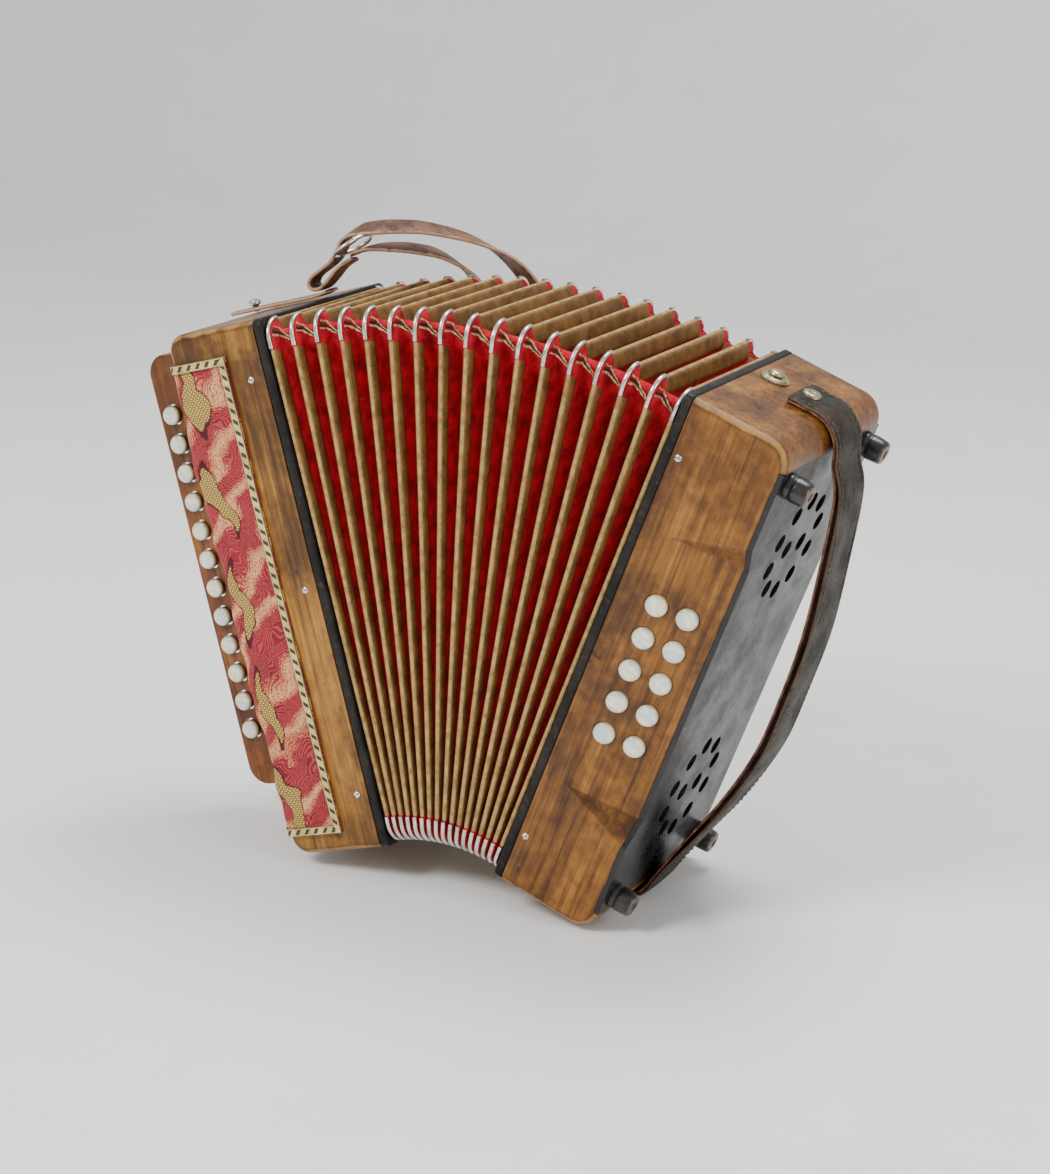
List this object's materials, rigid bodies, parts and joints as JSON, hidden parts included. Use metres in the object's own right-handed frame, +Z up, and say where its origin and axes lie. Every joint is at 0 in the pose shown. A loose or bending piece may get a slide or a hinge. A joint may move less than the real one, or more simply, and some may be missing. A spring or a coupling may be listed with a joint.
{
  "type": "diatonic button accordion",
  "caption": "Small diatonic button accordion: walnut treble and bass casings joined by fanned bellows, with pearl buttons, brocade grille and leather straps.",
  "frame": {"origin": "bottom centre of the bounding box, on the surface the instrument stands on", "axes": "+X from the treble side to the bass side, +Y from the front (grille and bass buttons) to the back, +Z up"},
  "size_m": [0.4372, 0.1644, 0.3509],
  "materials": {
    "walnut": "worn varnish",
    "bare_spruce": "unfinished",
    "black_lacquer": "worn black lacquer",
    "red_brocade": "woven figured cloth",
    "gold_braid": "woven trim with dark slanting bars",
    "gold_tape": "grained bronze tape over card",
    "bellows_cloth": "dark crimson cloth",
    "pearl": "mother of pearl",
    "brown_leather": "worn",
    "nickel": "bright, a little dulled",
    "aged_brass": "tarnished"
  },
  "bodies": {
    "treble_side": {"treble_case": "walnut", "treble_frame": "black_lacquer", "grille_cloth": "red_brocade", "grille_braid": "gold_braid", "fingerboard": "walnut", "key_axle": "nickel", "treble_reed_block": "bare_spruce", "shoulder_strap": "brown_leather", "strap_stud": "nickel", "strap_buckle": "nickel", "bellows_fold_01": "gold_tape"},
    "fold_02": {"bellows_fold_02": "gold_tape"},
    "fold_03": {"bellows_fold_03": "gold_tape"},
    "fold_04": {"bellows_fold_04": "gold_tape"},
    "fold_05": {"bellows_fold_05": "gold_tape"},
    "fold_06": {"bellows_fold_06": "gold_tape"},
    "fold_07": {"bellows_fold_07": "gold_tape"},
    "fold_08": {"bellows_fold_08": "gold_tape"},
    "fold_09": {"bellows_fold_09": "gold_tape"},
    "fold_10": {"bellows_fold_10": "gold_tape"},
    "fold_11": {"bellows_fold_11": "gold_tape"},
    "fold_12": {"bellows_fold_12": "gold_tape"},
    "fold_13": {"bellows_fold_13": "gold_tape"},
    "fold_14": {"bellows_fold_14": "gold_tape"},
    "fold_15": {"bellows_fold_15": "gold_tape"},
    "fold_16": {"bellows_fold_16": "gold_tape"},
    "bass_side": {"bass_frame": "black_lacquer", "bass_case": "walnut", "bass_end_plate": "black_lacquer", "bass_reed_block": "bare_spruce", "bass_foot_1": "black_lacquer", "bass_foot_2": "black_lacquer", "bass_foot_3": "black_lacquer", "bass_foot_4": "black_lacquer", "hand_strap": "brown_leather", "hand_strap_rivet": "aged_brass", "press_stud": "aged_brass", "bellows_fold_17": "gold_tape"},
    "key_01": {"treble_key_01": "pearl"},
    "key_02": {"treble_key_02": "pearl"},
    "key_03": {"treble_key_03": "pearl"},
    "key_04": {"treble_key_04": "pearl"},
    "key_05": {"treble_key_05": "pearl"},
    "key_06": {"treble_key_06": "pearl"},
    "key_07": {"treble_key_07": "pearl"},
    "key_08": {"treble_key_08": "pearl"},
    "key_09": {"treble_key_09": "pearl"},
    "key_10": {"treble_key_10": "pearl"},
    "key_11": {"treble_key_11": "pearl"},
    "key_12": {"treble_key_12": "pearl"},
    "button_01": {"bass_button_01": "pearl"},
    "button_02": {"bass_button_02": "pearl"},
    "button_03": {"bass_button_03": "pearl"},
    "button_04": {"bass_button_04": "pearl"},
    "button_05": {"bass_button_05": "pearl"},
    "button_06": {"bass_button_06": "pearl"},
    "button_07": {"bass_button_07": "pearl"},
    "button_08": {"bass_button_08": "pearl"},
    "button_09": {"bass_button_09": "pearl"},
    "button_10": {"bass_button_10": "pearl"}
  },
  "joints": [
    {"name": "bellows_01", "type": "hinge", "parent": "treble_side", "child": "fold_02", "pos_m": [-0.0124, -0.01455, 0.02516], "axis": [0, 1, 0], "range_deg": [-2.27, 1.1]},
    {"name": "bellows_02", "type": "hinge", "parent": "fold_02", "child": "fold_03", "pos_m": [-0.00861, -0.01455, 0.0261], "axis": [0, 1, 0], "range_deg": [-2.27, 1.1]},
    {"name": "bellows_03", "type": "hinge", "parent": "fold_03", "child": "fold_04", "pos_m": [-0.00479, -0.01455, 0.02688], "axis": [0, 1, 0], "range_deg": [-2.27, 1.1]},
    {"name": "bellows_04", "type": "hinge", "parent": "fold_04", "child": "fold_05", "pos_m": [-0.00094, -0.01455, 0.02751], "axis": [0, 1, 0], "range_deg": [-2.27, 1.1]},
    {"name": "bellows_05", "type": "hinge", "parent": "fold_05", "child": "fold_06", "pos_m": [0.00293, -0.01455, 0.02798], "axis": [0, 1, 0], "range_deg": [-2.27, 1.1]},
    {"name": "bellows_06", "type": "hinge", "parent": "fold_06", "child": "fold_07", "pos_m": [0.00681, -0.01455, 0.02831], "axis": [0, 1, 0], "range_deg": [-2.27, 1.1]},
    {"name": "bellows_07", "type": "hinge", "parent": "fold_07", "child": "fold_08", "pos_m": [0.01071, -0.01455, 0.02847], "axis": [0, 1, 0], "range_deg": [-2.27, 1.1]},
    {"name": "bellows_08", "type": "hinge", "parent": "fold_08", "child": "fold_09", "pos_m": [0.01461, -0.01455, 0.02849], "axis": [0, 1, 0], "range_deg": [-2.27, 1.1]},
    {"name": "bellows_09", "type": "hinge", "parent": "fold_09", "child": "fold_10", "pos_m": [0.01851, -0.01455, 0.02835], "axis": [0, 1, 0], "range_deg": [-2.27, 1.1]},
    {"name": "bellows_10", "type": "hinge", "parent": "fold_10", "child": "fold_11", "pos_m": [0.0224, -0.01455, 0.02805], "axis": [0, 1, 0], "range_deg": [-2.27, 1.1]},
    {"name": "bellows_11", "type": "hinge", "parent": "fold_11", "child": "fold_12", "pos_m": [0.02627, -0.01455, 0.0276], "axis": [0, 1, 0], "range_deg": [-2.27, 1.1]},
    {"name": "bellows_12", "type": "hinge", "parent": "fold_12", "child": "fold_13", "pos_m": [0.03012, -0.01455, 0.027], "axis": [0, 1, 0], "range_deg": [-2.27, 1.1]},
    {"name": "bellows_13", "type": "hinge", "parent": "fold_13", "child": "fold_14", "pos_m": [0.03395, -0.01455, 0.02624], "axis": [0, 1, 0], "range_deg": [-2.27, 1.1]},
    {"name": "bellows_14", "type": "hinge", "parent": "fold_14", "child": "fold_15", "pos_m": [0.03774, -0.01455, 0.02534], "axis": [0, 1, 0], "range_deg": [-2.27, 1.1]},
    {"name": "bellows_15", "type": "hinge", "parent": "fold_15", "child": "fold_16", "pos_m": [0.0415, -0.01455, 0.02428], "axis": [0, 1, 0], "range_deg": [-2.27, 1.1]},
    {"name": "bellows_16", "type": "hinge", "parent": "fold_16", "child": "bass_side", "pos_m": [0.04521, -0.01455, 0.02308], "axis": [0, 1, 0], "range_deg": [-2.27, 1.1]},
    {"name": "press_key_01", "type": "hinge", "parent": "treble_side", "child": "key_01", "pos_m": [-0.10183, -0.00355, 0.06274], "axis": [0.2773, 0, -0.9608], "range_deg": [0, 3.7], "stiffness_Nm_per_rad": 0.2, "springref_deg": -5.73},
    {"name": "press_key_02", "type": "hinge", "parent": "treble_side", "child": "key_02", "pos_m": [-0.10665, -0.00355, 0.07946], "axis": [0.2773, 0, -0.9608], "range_deg": [0, 3.7], "stiffness_Nm_per_rad": 0.2, "springref_deg": -5.73},
    {"name": "press_key_03", "type": "hinge", "parent": "treble_side", "child": "key_03", "pos_m": [-0.11148, -0.00355, 0.09617], "axis": [0.2773, 0, -0.9608], "range_deg": [0, 3.7], "stiffness_Nm_per_rad": 0.2, "springref_deg": -5.73},
    {"name": "press_key_04", "type": "hinge", "parent": "treble_side", "child": "key_04", "pos_m": [-0.1163, -0.00355, 0.11289], "axis": [0.2773, 0, -0.9608], "range_deg": [0, 3.7], "stiffness_Nm_per_rad": 0.2, "springref_deg": -5.73},
    {"name": "press_key_05", "type": "hinge", "parent": "treble_side", "child": "key_05", "pos_m": [-0.12113, -0.00355, 0.12961], "axis": [0.2773, 0, -0.9608], "range_deg": [0, 3.7], "stiffness_Nm_per_rad": 0.2, "springref_deg": -5.73},
    {"name": "press_key_06", "type": "hinge", "parent": "treble_side", "child": "key_06", "pos_m": [-0.12595, -0.00355, 0.14633], "axis": [0.2773, 0, -0.9608], "range_deg": [0, 3.7], "stiffness_Nm_per_rad": 0.2, "springref_deg": -5.73},
    {"name": "press_key_07", "type": "hinge", "parent": "treble_side", "child": "key_07", "pos_m": [-0.13078, -0.00355, 0.16304], "axis": [0.2773, 0, -0.9608], "range_deg": [0, 3.7], "stiffness_Nm_per_rad": 0.2, "springref_deg": -5.73},
    {"name": "press_key_08", "type": "hinge", "parent": "treble_side", "child": "key_08", "pos_m": [-0.1356, -0.00355, 0.17976], "axis": [0.2773, 0, -0.9608], "range_deg": [0, 3.7], "stiffness_Nm_per_rad": 0.2, "springref_deg": -5.73},
    {"name": "press_key_09", "type": "hinge", "parent": "treble_side", "child": "key_09", "pos_m": [-0.14043, -0.00355, 0.19648], "axis": [0.2773, 0, -0.9608], "range_deg": [0, 3.7], "stiffness_Nm_per_rad": 0.2, "springref_deg": -5.73},
    {"name": "press_key_10", "type": "hinge", "parent": "treble_side", "child": "key_10", "pos_m": [-0.14525, -0.00355, 0.2132], "axis": [0.2773, 0, -0.9608], "range_deg": [0, 3.7], "stiffness_Nm_per_rad": 0.2, "springref_deg": -5.73},
    {"name": "press_key_11", "type": "hinge", "parent": "treble_side", "child": "key_11", "pos_m": [-0.15008, -0.00355, 0.22991], "axis": [0.2773, 0, -0.9608], "range_deg": [0, 3.7], "stiffness_Nm_per_rad": 0.2, "springref_deg": -5.73},
    {"name": "press_key_12", "type": "hinge", "parent": "treble_side", "child": "key_12", "pos_m": [-0.1549, -0.00355, 0.24663], "axis": [0.2773, 0, -0.9608], "range_deg": [0, 3.7], "stiffness_Nm_per_rad": 0.2, "springref_deg": -5.73},
    {"name": "press_bass_01", "type": "slide", "parent": "bass_side", "child": "button_01", "axis": [-0.2031, 0.9763, 0.0749], "range_m": [0, 0.0022], "stiffness_N_per_m": 150, "springref_m": -0.004},
    {"name": "press_bass_02", "type": "slide", "parent": "bass_side", "child": "button_02", "axis": [-0.2031, 0.9763, 0.0749], "range_m": [0, 0.0022], "stiffness_N_per_m": 150, "springref_m": -0.004},
    {"name": "press_bass_03", "type": "slide", "parent": "bass_side", "child": "button_03", "axis": [-0.2031, 0.9763, 0.0749], "range_m": [0, 0.0022], "stiffness_N_per_m": 150, "springref_m": -0.004},
    {"name": "press_bass_04", "type": "slide", "parent": "bass_side", "child": "button_04", "axis": [-0.2031, 0.9763, 0.0749], "range_m": [0, 0.0022], "stiffness_N_per_m": 150, "springref_m": -0.004},
    {"name": "press_bass_05", "type": "slide", "parent": "bass_side", "child": "button_05", "axis": [-0.2031, 0.9763, 0.0749], "range_m": [0, 0.0022], "stiffness_N_per_m": 150, "springref_m": -0.004},
    {"name": "press_bass_06", "type": "slide", "parent": "bass_side", "child": "button_06", "axis": [-0.2031, 0.9763, 0.0749], "range_m": [0, 0.0022], "stiffness_N_per_m": 150, "springref_m": -0.004},
    {"name": "press_bass_07", "type": "slide", "parent": "bass_side", "child": "button_07", "axis": [-0.2031, 0.9763, 0.0749], "range_m": [0, 0.0022], "stiffness_N_per_m": 150, "springref_m": -0.004},
    {"name": "press_bass_08", "type": "slide", "parent": "bass_side", "child": "button_08", "axis": [-0.2031, 0.9763, 0.0749], "range_m": [0, 0.0022], "stiffness_N_per_m": 150, "springref_m": -0.004},
    {"name": "press_bass_09", "type": "slide", "parent": "bass_side", "child": "button_09", "axis": [-0.2031, 0.9763, 0.0749], "range_m": [0, 0.0022], "stiffness_N_per_m": 150, "springref_m": -0.004},
    {"name": "press_bass_10", "type": "slide", "parent": "bass_side", "child": "button_10", "axis": [-0.2031, 0.9763, 0.0749], "range_m": [0, 0.0022], "stiffness_N_per_m": 150, "springref_m": -0.004}
  ],
  "couplings": [
    {"joint": "bellows_02", "follows": "bellows_01", "ratio": 1},
    {"joint": "bellows_03", "follows": "bellows_01", "ratio": 1},
    {"joint": "bellows_04", "follows": "bellows_01", "ratio": 1},
    {"joint": "bellows_05", "follows": "bellows_01", "ratio": 1},
    {"joint": "bellows_06", "follows": "bellows_01", "ratio": 1},
    {"joint": "bellows_07", "follows": "bellows_01", "ratio": 1},
    {"joint": "bellows_08", "follows": "bellows_01", "ratio": 1},
    {"joint": "bellows_09", "follows": "bellows_01", "ratio": 1},
    {"joint": "bellows_10", "follows": "bellows_01", "ratio": 1},
    {"joint": "bellows_11", "follows": "bellows_01", "ratio": 1},
    {"joint": "bellows_12", "follows": "bellows_01", "ratio": 1},
    {"joint": "bellows_13", "follows": "bellows_01", "ratio": 1},
    {"joint": "bellows_14", "follows": "bellows_01", "ratio": 1},
    {"joint": "bellows_15", "follows": "bellows_01", "ratio": 1},
    {"joint": "bellows_16", "follows": "bellows_01", "ratio": 1}
  ]
}
